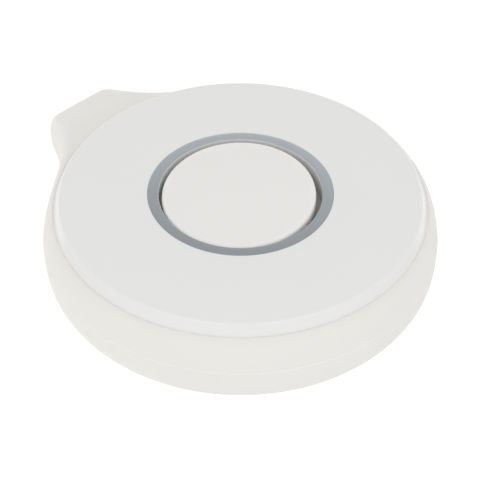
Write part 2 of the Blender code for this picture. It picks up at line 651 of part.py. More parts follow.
def main():
    clear_scene()
    case = add_axis("case")
    press_x = BUTTON_OFFSET * math.cos(BUTTON_OFFSET_WAY)
    press_y = BUTTON_OFFSET * math.sin(BUTTON_OFFSET_WAY)
    press = add_axis("button_axis", (press_x, press_y, 0.0), case)
    door_axis = add_axis("door_axis", parent=case)
    make_soft_sleeve(case)
    make_front_cover(case)
    make_light_ring(case)
    make_button_cap(press)
    make_button_seal(case)
    make_switch(case, press)
    make_board(case)
    make_cell(case)
    make_rear_housing(case)
    make_battery_door(door_axis)
    make_cover_seal(case)
    make_screws(case)


main()
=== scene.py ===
"""Looks of a round push button in a soft sleeve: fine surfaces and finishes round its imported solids.

The file is laid out as a Blender add-on and is run as a script. Each operator makes one piece, or
dresses the solids that stay, and the last one sets the stage. Lengths are metres and +Z is up.
"""

import json
import math

import bmesh
import bpy
import numpy as np
from bpy.props import FloatProperty, FloatVectorProperty, PointerProperty
from mathutils import Matrix, Vector


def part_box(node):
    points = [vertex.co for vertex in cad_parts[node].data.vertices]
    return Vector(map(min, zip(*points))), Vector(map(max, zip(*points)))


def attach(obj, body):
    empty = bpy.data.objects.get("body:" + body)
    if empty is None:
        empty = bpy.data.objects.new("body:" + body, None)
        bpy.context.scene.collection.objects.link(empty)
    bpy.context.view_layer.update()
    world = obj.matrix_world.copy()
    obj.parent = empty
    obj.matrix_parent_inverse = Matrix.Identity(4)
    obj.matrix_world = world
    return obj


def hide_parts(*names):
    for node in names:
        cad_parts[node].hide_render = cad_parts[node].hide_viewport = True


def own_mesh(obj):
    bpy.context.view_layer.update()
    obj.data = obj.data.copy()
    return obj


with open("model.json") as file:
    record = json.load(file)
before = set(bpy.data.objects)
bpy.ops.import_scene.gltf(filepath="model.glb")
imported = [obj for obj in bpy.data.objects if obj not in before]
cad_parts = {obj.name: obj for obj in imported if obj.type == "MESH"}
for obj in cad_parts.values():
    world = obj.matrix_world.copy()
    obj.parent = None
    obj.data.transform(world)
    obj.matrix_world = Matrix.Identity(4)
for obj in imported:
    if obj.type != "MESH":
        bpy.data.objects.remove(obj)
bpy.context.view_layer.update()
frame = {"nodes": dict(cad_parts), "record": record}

bl_info = {
    "name": "Round push button",
    "version": (1, 0, 0),
    "blender": (4, 5, 0),
    "location": "3D View > Sidebar > Push button",
    "description": "Fine surfaces and finishes of a round push button in a soft sleeve",
    "category": "Object",
}

MM = 0.001

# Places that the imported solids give
cover_low, cover_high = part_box("front_cover")
ring_low, ring_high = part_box("light_ring")
button_low, button_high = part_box("button_cap")
seal_low, seal_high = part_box("button_seal")
door_low, door_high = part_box("battery_door")
lug_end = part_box("soft_sleeve")[1].y
front = cover_high.z
rim_radius = cover_high.x

# Mesh densities
TURNED_COLUMNS = 240
SLEEVE_COLUMNS = 400
CURVE_ROWS = 36
LUG_ROWS = 30
SEAM_ROWS = 22
CORNER_STEPS = 6
RING_STEPS = 16
DISH_ROWS = 110
EYE_STEPS = 12
SMALL_COLUMNS = 32
OUTLINE_HALVINGS = 40

# Points nearer than this are one point, and edges sharper than this angle stay sharp
MERGE_DISTANCE = 0.0002 * MM
SHARP_ANGLE = math.radians(35.0)

# Counts of like features
SCREWS = 4
DOOR_TABS = 3

# How much the sleeve's columns crowd towards its lug, from 0 to 1
LUG_CROWDING = 0.6

# Where the parting line has rows of its own, in half widths of the line
SEAM_SPAN = (-3.0, 6.0)

# Decimals of a metre to which the heights of the sleeve's rows are told apart
ROW_DECIMALS = 8

# How far the tools that cut the eye and the pilot holes reach out of the piece
EYE_OVERSHOOT = 1.2 * MM
PILOT_OVERSHOOT = 1.0 * MM

# Share of the cover's sloped rim, down from the flat front, at which its bow begins
BOW_START = 0.3

# Part of the ring's face that is crowned, from -1 at its inner edge to 1 at its outer edge
CROWN_SPAN = (-0.45, 0.7)

# Height of a six-sided section that lies on a flat side, over its corners' radius
HEXAGON_HEIGHT = math.sqrt(3.0)

# Sines of the elevations between which the table, the backdrop's foot and its top fade
TABLE_FADE = (-0.1, 0.05)
BACKDROP_FOOT = (-0.42, -0.26)
BACKDROP_TOP = (0.0, 0.2)

# How nearly a direction points away from the camera where the backdrop's sides fade
BACKDROP_SIDES = (0.25, 0.55)

# The camera's sensor in millimetres, and the nearest that it sees
SENSOR_WIDTH = 36.0
CLIP_START = 10.0 * MM


def length(name, description, millimetres):
    """A length property, with its default given in millimetres."""
    return FloatProperty(
        name=name, description=description, default=millimetres * MM, unit="LENGTH", precision=5
    )


def angle(name, description, degrees):
    """An angle property, with its default given in degrees."""
    return FloatProperty(
        name=name, description=description, default=math.radians(degrees), subtype="ANGLE"
    )


def number(name, description, value):
    """A plain number property."""
    return FloatProperty(name=name, description=description, default=value)


def colour(name, description, value):
    """A colour property in linear red, green and blue."""
    return FloatVectorProperty(
        name=name, description=description, default=value, subtype="COLOR", size=3, min=0.0, max=1.0
    )


class SleeveSettings(bpy.types.PropertyGroup):
    """Sizes and colour of the soft sleeve and its cord lug."""

    shoulder_width: length("Shoulder", "From the cover's rim out to the widest line", 1.87)
    shoulder_power: number("Shoulder roundness", "Exponent of the curve above the widest line", 1.63)
    belly_height: length("Belly height", "Height of the widest line", 5.94)
    belly_power: number("Belly roundness", "Exponent of the curve below the widest line", 3.4)
    foot_radius: length("Foot radius", "Outer radius of the flat ring that it stands on", 19.4)
    hole_radius: length("Hole radius", "Radius of the hole in its floor", 16.2)
    cavity_radius: length("Cavity radius", "Radius of the space for the housing", 24.7)
    floor: length("Floor", "Thickness of its floor", 1.3)
    lip_gap: length("Lip gap", "From its lip up to the cover's rim, below 0 where it is pressed", -0.03)
    lip_rounding: length("Lip rounding", "Rounding of its inner edges", 0.3)
    lug_width: length("Lug width", "Width of the lug's end", 10.44)
    lug_flare: angle("Lug flare", "Angle at which each flank widens towards the body", 25.06)
    lug_corner: length("Lug corner", "Rounding of the lug's outer corners", 1.0)
    lug_fillet: length("Lug fillet", "Rounding where the lug grows out of the body", 5.5)
    lug_underside: length("Lug underside", "Height of the lug's underside", 3.47)
    lug_drop: length("Lug drop", "How far the lug's top slopes down to its end", 1.53)
    lug_power: number("Lug squareness", "Exponent of the lug's upright section", 8.5)
    eye_width: length("Eye width", "Width of the cord's eye", 5.4)
    eye_height: length("Eye height", "Height of the cord's eye", 2.2)
    eye_corner: length("Eye corner", "Rounding of the eye's corners", 0.8)
    eye_mouth: length("Eye mouth", "Rounding of the eye's mouths", 0.4)
    eye_bar: length("Eye bar", "Radius of the bar that the cord goes round", 1.2)
    eye_inset: length("Eye inset", "From the lug's end and underside to the bar's centre", 1.5)
    seam_height: length("Seam height", "Height of the mould's parting line", 6.86)
    seam_width: length("Seam width", "Half width of the parting line", 0.09)
    seam_proud: length("Seam", "How far the parting line stands proud", 0.05)
    # Painted shade: the skin's colour darkens up towards its lip, under the cover's rim
    lip_shade_depth: length("Lip_shade depth", "How far below its lip it is faintly soiled", 1.2)
    tint: colour("Colour", "Colour of the soft moulding", (0.824, 0.815, 0.784))
    lip_shade_tint: colour("Lip_shade colour", "Colour of the soft moulding where it is soiled", (0.805, 0.792, 0.755))


class CoverSettings(bpy.types.PropertyGroup):
    """Sizes and colour of the glossy front cover."""

    deck_radius: length("Flat radius", "Radius of the flat front", 25.2)
    rim_drop: length("Rim drop", "How far the sloped rim falls", 1.63)
    edge: length("Edge", "Rounding where the flat meets the rim", 0.45)
    rim_bow: length("Rim bow", "How far the sloped rim swells between its edges", 0.09)
    rim_edge: length("Rim edge", "Rounding of the rim's lower edge", 0.01)
    hole_radius: length("Hole radius", "Radius of the hole for the light ring", 13.0)
    hole_edge: length("Hole edge", "Rounding of the hole's edge", 0.02)
    wall: length("Wall", "Thickness of the disc", 1.5)
    skirt_radius: length("Skirt radius", "Outer radius of the skirt that plugs into the housing", 22.6)
    skirt_wall: length("Skirt wall", "Thickness of the skirt", 1.8)
    skirt_length: length("Skirt length", "From the rim's underside to the skirt's end", 3.2)
    groove: length("Groove depth", "Depth of the seal's groove in the skirt", 0.8)
    groove_width: length("Groove width", "Width of the seal's groove in the skirt", 1.1)
    boss_radius: length("Boss radius", "Radius of the bosses that take the screws", 2.0)
    pilot_radius: length("Pilot radius", "Radius of the holes in the bosses", 1.2)
    tint: colour("Colour", "Colour of the glossy moulding", (0.81, 0.81, 0.793))


class RingSettings(bpy.types.PropertyGroup):
    """Sizes and colour of the light ring."""

    inner_radius: length("Inner radius", "Radius of the ring's inner wall", 11.42)
    width: length("Width", "Width of the ring on the front", 1.56)
    crown: length("Crown", "How far its face swells between its edges", 0.16)
    inner_edge: length("Inner edge", "Rounding of the inner edge", 0.3)
    outer_edge: length("Outer edge", "Rounding of the outer edge", 0.04)
    lip_edge: length("Lip edge", "Rounding of the hidden edges", 0.06)
    skin_top: length("Skin top", "Depth at which the grey skin begins to thin out", 0.009)
    skin_bottom: length("Skin bottom", "Depth at which the grey skin has gone", 0.06)
    # Painted shade: the paler inside goes dark between these depths down the gap
    pale_top: length("Pale top", "Depth at which the paler inside begins to go dark", 0.15)
    pale_bottom: length("Pale bottom", "Depth at which the paler inside has gone dark", 2.2)
    depth: length("Depth", "From the front to the step that stops the button", 2.5)
    lip_fit: length("Lip fit", "From the cover's inside down to the lip", 0.15)
    lip: length("Lip", "Thickness of the lip under the cover", 0.9)
    guide_inner: length("Guide inner radius", "Inner radius of the light guide", 13.38)
    guide_outer: length("Guide outer radius", "Outer radius of the light guide", 14.78)
    # Painted light and shade on the ring's skin: how much it varies across the ring, and where it is palest
    flow: number("Painted_light", "Share by which the skin's colour varies across the ring", 0.18)
    painted_light_way: angle("Flow direction", "Where the skin is palest, round from +X", 32.0)
    tint: colour("Colour", "Colour of the grey skin", (0.332, 0.362, 0.383))
    pale: colour("Inside colour", "Colour of the paler inside", (0.72, 0.715, 0.7))
    # Painted shade: the colour of the inside further down the gap
    deep_shade: colour("Deep colour", "Colour of the inside further down", (0.55, 0.55, 0.55))


class ButtonSettings(bpy.types.PropertyGroup):
    """Sizes and colour of the push button and its seal."""

    radius: length("Radius", "Radius of the button's face", 10.74)
    edge: length("Edge", "Rounding of the button's edge", 0.46)
    wall: length("Wall", "Thickness of the button's wall and face", 1.4)
    sink: length("Sink", "How far the middle of its face rests below its highest", 0.22)
    lean: angle("Lean", "How far its face leans in the play of its gap", 2.5)
    lean_way: angle("Lean direction", "Where the low side is, round from +X", 194.0)
    flange: length("Flange", "Thickness of the flange that the ring stops", 0.7)
    pusher_radius: length("Pusher radius", "Radius of the pusher over the switch", 2.2)
    pusher_length: length("Pusher length", "Length of the pusher over the switch", 1.12)
    seal_inner: length("Seal inner radius", "Inner radius of the seal under the button", 9.92)
    seal_bead: length("Seal bead", "Width of the seal's flat part under the button", 1.1)
    seal_rim: length("Seal rim", "Width of the seal's outer bead", 1.0)
    seal_sheet: length("Seal sheet", "Thickness of the seal", 0.45)
    # Painted shade low in the gap round the button: its depths and its darker colour
    gap_shade_top: length("Gap_shade top", "Depth below the front where dust in the gap begins", 0.6)
    gap_shade_bottom: length("Gap_shade bottom", "Depth below the front where the dust is thickest", 1.8)
    tint: colour("Colour", "Colour of the satin moulding", (0.842, 0.835, 0.818))
    gap_shade: colour("Gap_shade colour", "Colour of the dust low in the gap", (0.63, 0.62, 0.61))


class DoorSettings(bpy.types.PropertyGroup):
    """Sizes and colour of the battery door and the seal rings."""

    thickness: length("Thickness", "Thickness of the door's plate", 1.4)
    spigot_inner: length("Spigot inner radius", "Inner radius of the wall round the cell", 10.4)
    spigot_outer: length("Spigot outer radius", "Outer radius of the wall round the cell", 11.6)
    edge: length("Edge", "Rounding of the door's rim", 0.25)
    groove_inner: length("Groove inner radius", "Inner radius of the seal's groove", 11.86)
    groove_outer: length("Groove outer radius", "Outer radius of the seal's groove", 12.8)
    groove: length("Groove depth", "Depth of the seal's groove", 0.49)
    tab_reach: length("Tab reach", "How far each tab reaches beyond the spigot", 1.2)
    tab_height: length("Tab height", "Thickness of each tab", 0.45)
    tab_drop: length("Tab drop", "From the spigot's end down to each tab", 0.15)
    tab_span: angle("Tab span", "Angle that each tab covers", 26.0)
    grip_bar: length("Grip bar", "Width of the bar between the finger scoops", 3.2)
    grip_radius: length("Grip radius", "Outer radius of the finger scoops", 8.6)
    grip_depth: length("Grip depth", "Depth of the finger scoops", 0.8)
    grip_slope: length("Grip slope", "Width of the scoops' sloped sides", 0.7)
    grip_corner: length("Grip corner", "Rounding of the scoops' corners, seen from below", 0.5)
    mark_radius: length("Mark radius", "Distance of the shut mark from the door's axis", 10.6)
    mark_size: length("Mark size", "Radius of the shut mark", 0.5)
    mark_depth: length("Mark depth", "Depth of the shut mark", 0.2)
    tint: colour("Colour", "Colour of the hard inner mouldings", (0.72, 0.72, 0.70))


class StageSettings(bpy.types.PropertyGroup):
    """Camera, floor and lights."""

    azimuth: angle("Azimuth", "Where the camera stands, round from looking along +Y", -44.95)
    elevation: angle("Elevation", "Height of the camera above the front, seen from its middle", 41.102)
    distance: length("Distance", "From the middle of the front to the camera", 183.7)
    pitch: angle("Pitch", "How far down the camera looks", 43.233)
    roll: angle("Roll", "How far the camera leans", 0.151)
    lens: number("Lens", "Focal length in millimetres, on a sensor 36 mm wide", 98.78)
    shift: number("Shift", "Sideways shift of the lens, as a share of the picture", -0.0008)
    floor_radius: length("Floor radius", "Radius of the floor", 900.0)
    floor_white: number("Floor white", "Light that the floor gives off towards the camera", 0.72)
    floor_shade: number("Floor shade", "Share of light that the floor gives back, for the shadow", 0.4)
    fill: number("Fill", "Strength of the white surroundings as light", 0.8)
    bounce: number("Bounce", "How much brighter the table below the horizon is as light", 0.17)
    table: number("Table", "Brightness of the table in reflections", 0.75)
    backdrop: number("Backdrop", "How much brighter the low part of the backdrop is in reflections", 0.8)
    box_light: number("Soft box light", "Mean brightness of the two soft boxes", 3.08)
    box_balance: number("Soft box balance", "How much brighter the left soft box is than the mean", 0.03)
    box_width: length("Soft box width", "Width of each soft box", 250.0)
    box_height: length("Soft box height", "Height of each soft box", 80.0)
    box_distance: length("Soft box distance", "From the middle of the front to each soft box", 450.0)
    box_azimuth: angle("Soft box azimuth", "How far each soft box stands round from the camera", 32.0)
    box_elevation: angle("Soft box elevation", "How high each soft box stands", 45.0)
    glow_light: number("Glow light", "Brightness of the glow of the table at the far left", 1.5)
    glow_size: length("Glow size", "Width and height of the glow", 240.0)
    glow_azimuth: angle("Glow azimuth", "How far round from the camera the glow is", -107.0)
    glow_elevation: angle("Glow elevation", "How high the glow is, below 0 for the table", -45.0)
    glow_tint: colour("Glow colour", "Colour of the glow", (1.0, 0.84, 0.66))


def sizes(piece):
    """The settings of one piece, from the scene."""
    return getattr(bpy.context.scene, "push_button_" + piece)


class Wire:
    """A shader socket in a Python expression: each operator adds a Math node to its material."""

    def __init__(self, paint, socket):
        self.paint = paint
        self.socket = socket

    def __add__(self, other):
        return self.paint.math("ADD", self, other)

    def __sub__(self, other):
        return self.paint.math("SUBTRACT", self, other)

    def __rsub__(self, other):
        return self.paint.math("SUBTRACT", other, self)

    def __mul__(self, other):
        return self.paint.math("MULTIPLY", self, other)

    def __abs__(self):
        return self.paint.math("ABSOLUTE", self)

    __radd__ = __add__
    __rmul__ = __mul__


class Paint:
    """The nodes of a material or world, with methods that add nodes and return their outputs as wires."""

    def __init__(self, owner, coordinates="Object"):
        owner.use_nodes = True
        self.owner = owner
        self.tree = owner.node_tree
        self.place = self.node("ShaderNodeTexCoord", output=coordinates)

    def node(self, kind, settings=None, inputs=None, output=0):
        """Add a node of any kind: its settings first, then the values or wires of its sockets."""
        made = self.tree.nodes.new(kind)
        for key, value in (settings or {}).items():
            setattr(made, key, value)
        for key, value in (inputs or {}).items():
            self.join(made.inputs[key], value)
        return Wire(self, made.outputs[output])

    def join(self, socket, value):
        """Link a wire to a socket, or set the socket to a value."""
        if isinstance(value, Wire):
            self.tree.links.new(value.socket, socket)
        else:
            socket.default_value = value

    def math(self, operation, *values):
        """One Math node."""
        return self.node("ShaderNodeMath", {"operation": operation}, dict(enumerate(values)))

    def noise(self, size, detail=2.0, roughness=0.5, place=None):
        """Cloudy noise from 0 to 1 whose clouds are about this size."""
        inputs = {"Vector": place or self.place, "Scale": 1.0 / size}
        inputs.update(Detail=detail, Roughness=roughness)
        return self.node("ShaderNodeTexNoise", None, inputs)

    def ramp(self, value, low, high):
        """A smooth rise from 0 to 1 while the value goes from low to high."""
        inputs = {"Value": value, "From Min": low, "From Max": high}
        return self.node("ShaderNodeMapRange", {"interpolation_type": "SMOOTHSTEP"}, inputs)

    def between(self, factor, low, high):
        """A value that goes evenly from low to high while the factor goes from 0 to 1."""
        return factor * (high - low) + low

    def mix(self, factor, first, second):
        """A colour between two others."""
        inputs = {0: factor, 6: first, 7: second}
        return self.node("ShaderNodeMix", {"data_type": "RGBA"}, inputs, 2)

    def bump(self, height, depth, before=None):
        """A normal bent by a height from 0 to 1 that stands for this depth."""
        inputs = {"Height": height, "Distance": depth, "Strength": 1.0}
        if before is not None:
            inputs["Normal"] = before
        return self.node("ShaderNodeBump", None, inputs)

    def along(self, x, y, z):
        """How far each point lies along an axis, or how nearly each direction points that way."""
        inputs = {0: self.place, 1: (x, y, z)}
        return self.node("ShaderNodeVectorMath", {"operation": "DOT_PRODUCT"}, inputs, "Value")

    def height(self):
        """The height of each point above the floor, or the upward part of each direction."""
        return self.along(0.0, 0.0, 1.0)

    def finish(self, shader="Principled BSDF", **inputs):
        """Set or link the shader's inputs, named with underscores for spaces, and return the owner."""
        for key, value in inputs.items():
            self.join(self.tree.nodes[shader].inputs[key.replace("_", " ")], value)
        return self.owner


def new_paint(name):
    """The paint of a new material."""
    return Paint(bpy.data.materials.new(name))


def shade(tint, factor):
    """A colour made lighter or darker by a factor, as red, green, blue and alpha."""
    return (*(min(channel * factor, 1.0) for channel in tint), 1.0)


def mottled(paint, tint, size, amount):
    """The tint with faint clouds of this size that vary it by this share."""
    return paint.mix(paint.noise(size, 3.0), shade(tint, 1.0 - amount), shade(tint, 1.0 + amount))


def soft_moulding(name, settings):
    """Matt soft moulding: faint clouds, a fine grain, a paler, uneven parting line and painted shade below
    the lip.
    """
    paint = new_paint(name)
    grain = paint.noise(size=0.16 * MM)
    lip_top = front - sizes("cover").rim_drop
    # Painted shade: towards the lip the colour goes over to a darker tint, where the cover's rim shades the
    # sleeve
    shaded = paint.ramp(paint.height(), lip_top - settings.lip_shade_depth, lip_top)
    tints = (settings.tint, settings.lip_shade_tint)
    unshaded, shaded_clouds = (mottled(paint, tint, size=7.0 * MM, amount=0.012) for tint in tints)
    clouds = paint.mix(shaded, unshaded, shaded_clouds)
    off = abs(paint.height() - settings.seam_height)
    line = 1.0 - paint.ramp(off, 0.3 * settings.seam_width, settings.seam_width)
    patches = paint.ramp(paint.noise(size=2.5 * MM, detail=3.0), low=0.35, high=0.65)
    uneven = paint.between(patches, low=0.6, high=1.0)
    paler = shade(settings.tint, factor=1.06)
    return paint.finish(
        Base_Color=paint.mix(line * uneven, clouds, paler),
        Roughness=paint.between(grain, low=0.55, high=0.69),
        Normal=paint.bump(grain, depth=0.006 * MM),
        Specular_IOR_Level=0.35,
        Subsurface_Weight=0.45,
        Subsurface_Radius=(1.0, 0.97, 0.93),
        Subsurface_Scale=0.5 * MM,
        Sheen_Weight=0.2,
        Sheen_Roughness=0.3,
        Sheen_Tint=(1.0, 0.97, 0.94, 1.0),
    )


def gloss_moulding(name, settings):
    """Glossy moulding: faint clouds, a slight waviness of the surface and a few hairline scuffs."""
    paint = new_paint(name)
    waves = paint.noise(size=5.0 * MM, detail=1.0)
    scuffs = paint.ramp(paint.noise(size=0.5 * MM, detail=4.0, roughness=0.7), low=0.62, high=0.75)
    return paint.finish(
        Base_Color=mottled(paint, settings.tint, size=9.0 * MM, amount=0.006),
        Roughness=paint.between(scuffs, low=0.12, high=0.2),
        Normal=paint.bump(waves, depth=0.004 * MM),
    )


def satin_finish(paint, base, **inputs):
    """Finish a satin moulding over its base colour with a fine spark-eroded grain."""
    grain = paint.noise(size=0.12 * MM, detail=3.0)
    return paint.finish(
        Base_Color=base,
        Roughness=paint.between(grain, low=0.36, high=0.48),
        Normal=paint.bump(grain, depth=0.004 * MM),
        **inputs,
    )


def satin_moulding(name, tint):
    """Satin moulding with faint clouds."""
    paint = new_paint(name)
    return satin_finish(paint, mottled(paint, tint, size=6.0 * MM, amount=0.008))


def button_moulding(name, settings):
    """Satin moulding that light soaks into, with faint clouds and with painted shade low in the gap round
    it.
    """
    paint = new_paint(name)
    clouds = mottled(paint, settings.tint, size=6.0 * MM, amount=0.008)
    gap_shade = mottled(paint, settings.gap_shade, size=1.5 * MM, amount=0.1)
    # Painted shade: low in the gap the colour darkens, where the gap is in shade
    unshaded = paint.ramp(paint.height(), front - settings.gap_shade_bottom, front - settings.gap_shade_top)
    return satin_finish(
        paint,
        paint.mix(unshaded, gap_shade, clouds),
        Subsurface_Weight=1.0,
        Subsurface_Radius=(1.0, 0.95, 0.9),
        Subsurface_Scale=0.6 * MM,
    )


def grey_diffuser(name, settings):
    """Translucent moulding: a grey skin with faint clouds and a fine frost, over a paler inside.

    Painted light and shade: the skin is painted paler towards one side of the ring and darker towards the
    other.
    The inside is lit through the face, and its colour is painted darker with depth: painted shade down the
    gap.
    """
    paint = new_paint(name)
    frost = paint.noise(size=0.1 * MM)
    # Painted light and shade: the skin is painted paler towards one side of the ring and darker towards the
    # other
    across = paint.along(math.cos(settings.painted_light_way), math.sin(settings.painted_light_way), 0.0)
    reach = settings.inner_radius + settings.width
    tints = (shade(settings.tint, 1.0 + way * settings.flow)[:3] for way in (-1, 1))
    shaded_side, lit_side = (mottled(paint, tint, size=4.0 * MM, amount=0.03) for tint in tints)
    clouds = paint.mix(paint.ramp(across, -reach, reach), shaded_side, lit_side)
    pale = mottled(paint, settings.pale, size=4.0 * MM, amount=0.01)
    # Painted shade: the paler inside darkens with depth down the gap, where less light comes through the
    # face
    lit = paint.ramp(paint.height(), front - settings.pale_bottom, front - settings.pale_top)
    inside = paint.mix(lit, shade(settings.deep_shade, 1.0), pale)
    skin = paint.ramp(paint.height(), front - settings.skin_bottom, front - settings.skin_top)
    return paint.finish(
        Base_Color=paint.mix(skin, inside, clouds),
        Roughness=paint.between(frost, low=0.1, high=0.16),
        Normal=paint.bump(frost, depth=0.001 * MM),
        Subsurface_Weight=0.2,
        Subsurface_Radius=(1.0, 1.0, 1.0),
        Subsurface_Scale=0.5 * MM,
    )


def seal_rubber(name):
    """Black seal rubber: a dusty bloom over a fine grain."""
    paint = new_paint(name)
    bloom = paint.noise(size=1.2 * MM, detail=4.0)
    black, dusty = (0.035, 0.035, 0.036, 1.0), (0.075, 0.073, 0.07, 1.0)
    return paint.finish(
        Base_Color=paint.mix(bloom, black, dusty),
        Roughness=paint.between(bloom, low=0.6, high=0.8),
        Normal=paint.bump(paint.noise(size=0.08 * MM), depth=0.004 * MM),
    )


def board_green(name):
    """Solder-resist laminate: the weave shows faintly through the green."""
    paint = new_paint(name)
    clouds = paint.noise(size=3.0 * MM, detail=3.0)
    dark, light = (0.022, 0.13, 0.06, 1.0), (0.036, 0.185, 0.09, 1.0)
    strand = 0.5 * MM
    weave = paint.node("ShaderNodeTexBrick", None, {"Vector": paint.place, "Scale": 1.0 / strand}, "Fac")
    return paint.finish(
        Base_Color=paint.mix(clouds, dark, light),
        Roughness=paint.between(clouds, low=0.34, high=0.46),
        Normal=paint.bump(weave, depth=0.006 * MM),
    )


def black_resin(name):
    """Moulded black resin: a matt, slightly grey skin."""
    paint = new_paint(name)
    grain = paint.noise(size=0.09 * MM, detail=3.0)
    black, grey = (0.022, 0.022, 0.023, 1.0), (0.042, 0.041, 0.04, 1.0)
    return paint.finish(
        Base_Color=paint.mix(grain, black, grey),
        Roughness=paint.between(grain, low=0.45, high=0.6),
        Normal=paint.bump(grain, depth=0.006 * MM),
    )


def light_resin(name):
    """Clear yellowish resin of a light: a phosphor tint that varies."""
    paint = new_paint(name)
    clouds = paint.noise(size=0.4 * MM, detail=3.0)
    yellow, cream = (0.82, 0.76, 0.42, 1.0), (0.88, 0.85, 0.66, 1.0)
    return paint.finish(
        Base_Color=paint.mix(clouds, yellow, cream),
        Roughness=paint.between(clouds, low=0.18, high=0.28),
    )


def plated_metal(name, dark, light):
    """Plated sheet: fine drawing lines along X and faint tarnish."""
    paint = new_paint(name)
    squeezed = {"Vector": paint.place, "Scale": (1.0, 14.0, 14.0)}
    drawn = paint.node("ShaderNodeMapping", None, squeezed)
    lines = paint.noise(size=0.6 * MM, detail=3.0, place=drawn)
    tarnish = paint.noise(size=2.0 * MM, detail=3.0)
    return paint.finish(
        Base_Color=paint.mix(tarnish, dark, light),
        Metallic=1.0,
        Roughness=paint.between(lines, low=0.24, high=0.4),
        Normal=paint.bump(lines, depth=0.003 * MM),
    )


def rounded(corners, closed):
    """A profile of (radius, height, rounding) corners with each rounding drawn as a circular arc.

    An arc's centre lies on the corner's bisector, and its points turn evenly from the one leg to the other.
    """
    points = np.array([corner[:2] for corner in corners], float)
    before = np.roll(points, 1, axis=0)
    after = np.roll(points, -1, axis=0)
    rows = []
    for k, (_, _, rounding) in enumerate(corners):
        end = not closed and k in (0, len(corners) - 1)
        if end or rounding <= 0.0:
            rows.append(points[k][None])
            continue
        back = (before[k] - points[k]) / np.linalg.norm(before[k] - points[k])
        ahead = (after[k] - points[k]) / np.linalg.norm(after[k] - points[k])
        opening = math.acos(np.clip(back @ ahead, -1.0, 1.0))
        middle = (back + ahead) / np.linalg.norm(back + ahead)
        centre = points[k] + middle * rounding / math.sin(opening / 2)
        reach = rounding / math.tan(opening / 2)
        turn = math.pi - opening
        share = np.linspace(0.0, 1.0, CORNER_STEPS + 1)[:, None]
        start = points[k] + back * reach - centre
        stop = points[k] + ahead * reach - centre
        arc = np.sin((1.0 - share) * turn) * start + np.sin(share * turn) * stop
        rows.append(centre + arc / math.sin(turn))
    return np.concatenate(rows)


def turned(profile, columns, middle=(0.0, 0.0)):
    """A grid turned round an upright axis: x and y are the profile's radius times cosine and sine."""
    angles = np.linspace(0.0, 2 * math.pi, columns, endpoint=False)
    radius, height = profile[:, 0:1], profile[:, 1:2]
    x = middle[0] + radius * np.cos(angles)
    y = middle[1] + radius * np.sin(angles)
    return np.stack([x, y, np.broadcast_to(height, x.shape)], axis=2)


def grid_mesh(name, grid, closed):
    """A mesh of quads over a grid of points: columns always close on themselves, and rows if asked.

    Doubles are merged, which closes poles where a whole row falls on one point. Faces are turned outwards.
    """
    rows, columns = grid.shape[:2]
    index = np.arange(rows * columns).reshape(rows, columns)
    below = np.roll(index, -1, axis=0) if closed else index[1:]
    above = index if closed else index[:-1]
    corners = [above, below, np.roll(below, -1, axis=1), np.roll(above, -1, axis=1)]
    quads = np.stack(corners, axis=2).reshape(-1, 4)
    mesh = bpy.data.meshes.new(name)
    mesh.vertices.add(rows * columns)
    mesh.vertices.foreach_set("co", grid.astype(np.float32).ravel())
    mesh.loops.add(quads.size)
    mesh.loops.foreach_set("vertex_index", quads.astype(np.int32).ravel())
    mesh.polygons.add(len(quads))
    mesh.polygons.foreach_set("loop_start", np.arange(0, quads.size, 4, dtype=np.int32))
    mesh.update(calc_edges=True)
    bm = bmesh.new()
    bm.from_mesh(mesh)
    bmesh.ops.remove_doubles(bm, verts=bm.verts, dist=MERGE_DISTANCE)
    bmesh.ops.recalc_face_normals(bm, faces=bm.faces)
    bm.to_mesh(mesh)
    bm.free()
    return mesh


def combine(mesh, tools, operation):
    """The mesh joined with or cut by each closed tool mesh, with exact Booleans applied at once."""
    made = [bpy.data.objects.new(part.name, part) for part in [mesh, *tools]]
    for part in made:
        bpy.context.scene.collection.objects.link(part)
    for tool in made[1:]:
        modifier = made[0].modifiers.new(tool.name, "BOOLEAN")
        modifier.operation = operation
        modifier.solver = "EXACT"
        modifier.object = tool
    combined = made[0].evaluated_get(bpy.context.evaluated_depsgraph_get())
    result = bpy.data.meshes.new_from_object(combined)
    for part in made:
        bpy.data.objects.remove(part, do_unlink=True)
    return result


def add_piece(name, mesh, material, body, replaced=None):
    """Put a finished mesh into the scene as a piece that rides on a body and may stand for a solid."""
    mesh.name = name
    mesh.materials.clear()
    mesh.materials.append(material)
    mesh.shade_smooth()
    mesh.set_sharp_from_angle(angle=SHARP_ANGLE)
    piece = bpy.data.objects.new(name, mesh)
    bpy.context.scene.collection.objects.link(piece)
    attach(piece, body)
    if replaced:
        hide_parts(replaced)
    return piece


def capped(grid):
    """The grid with its first and its last row each closed by the row's mean point."""
    caps = [np.broadcast_to(end.mean(axis=0), end.shape)[None] for end in (grid[0], grid[-1])]
    return np.concatenate([caps[0], grid, caps[1]])


def rod(name, radius, low, high, middle):
    """A closed upright rod: a turned section from its axis out to its radius, down and back."""
    section = np.array([(0.0, high), (radius, high), (radius, low), (0.0, low)])
    return grid_mesh(name, turned(section, SMALL_COLUMNS, middle), closed=False)


def bulge(share, power):
    """Quarter of a rounded square: one minus share to the power, to one over the power."""
    return np.maximum(1.0 - share**power, 0.0) ** (1.0 / power)


def even_shares(power, rows):
    """Shares from 0 to 1 that step evenly round a rounded square: sine to two over the power."""
    return np.sin(np.linspace(0.0, math.pi / 2, rows)) ** (2.0 / power)


def smooth_max(first, second, reach):
    """The larger of two distances, rounded where they lie nearer to each other than reach."""
    near = np.maximum(reach - np.abs(first - second), 0.0) / reach
    return np.maximum(first, second) + near**2 * reach / 4


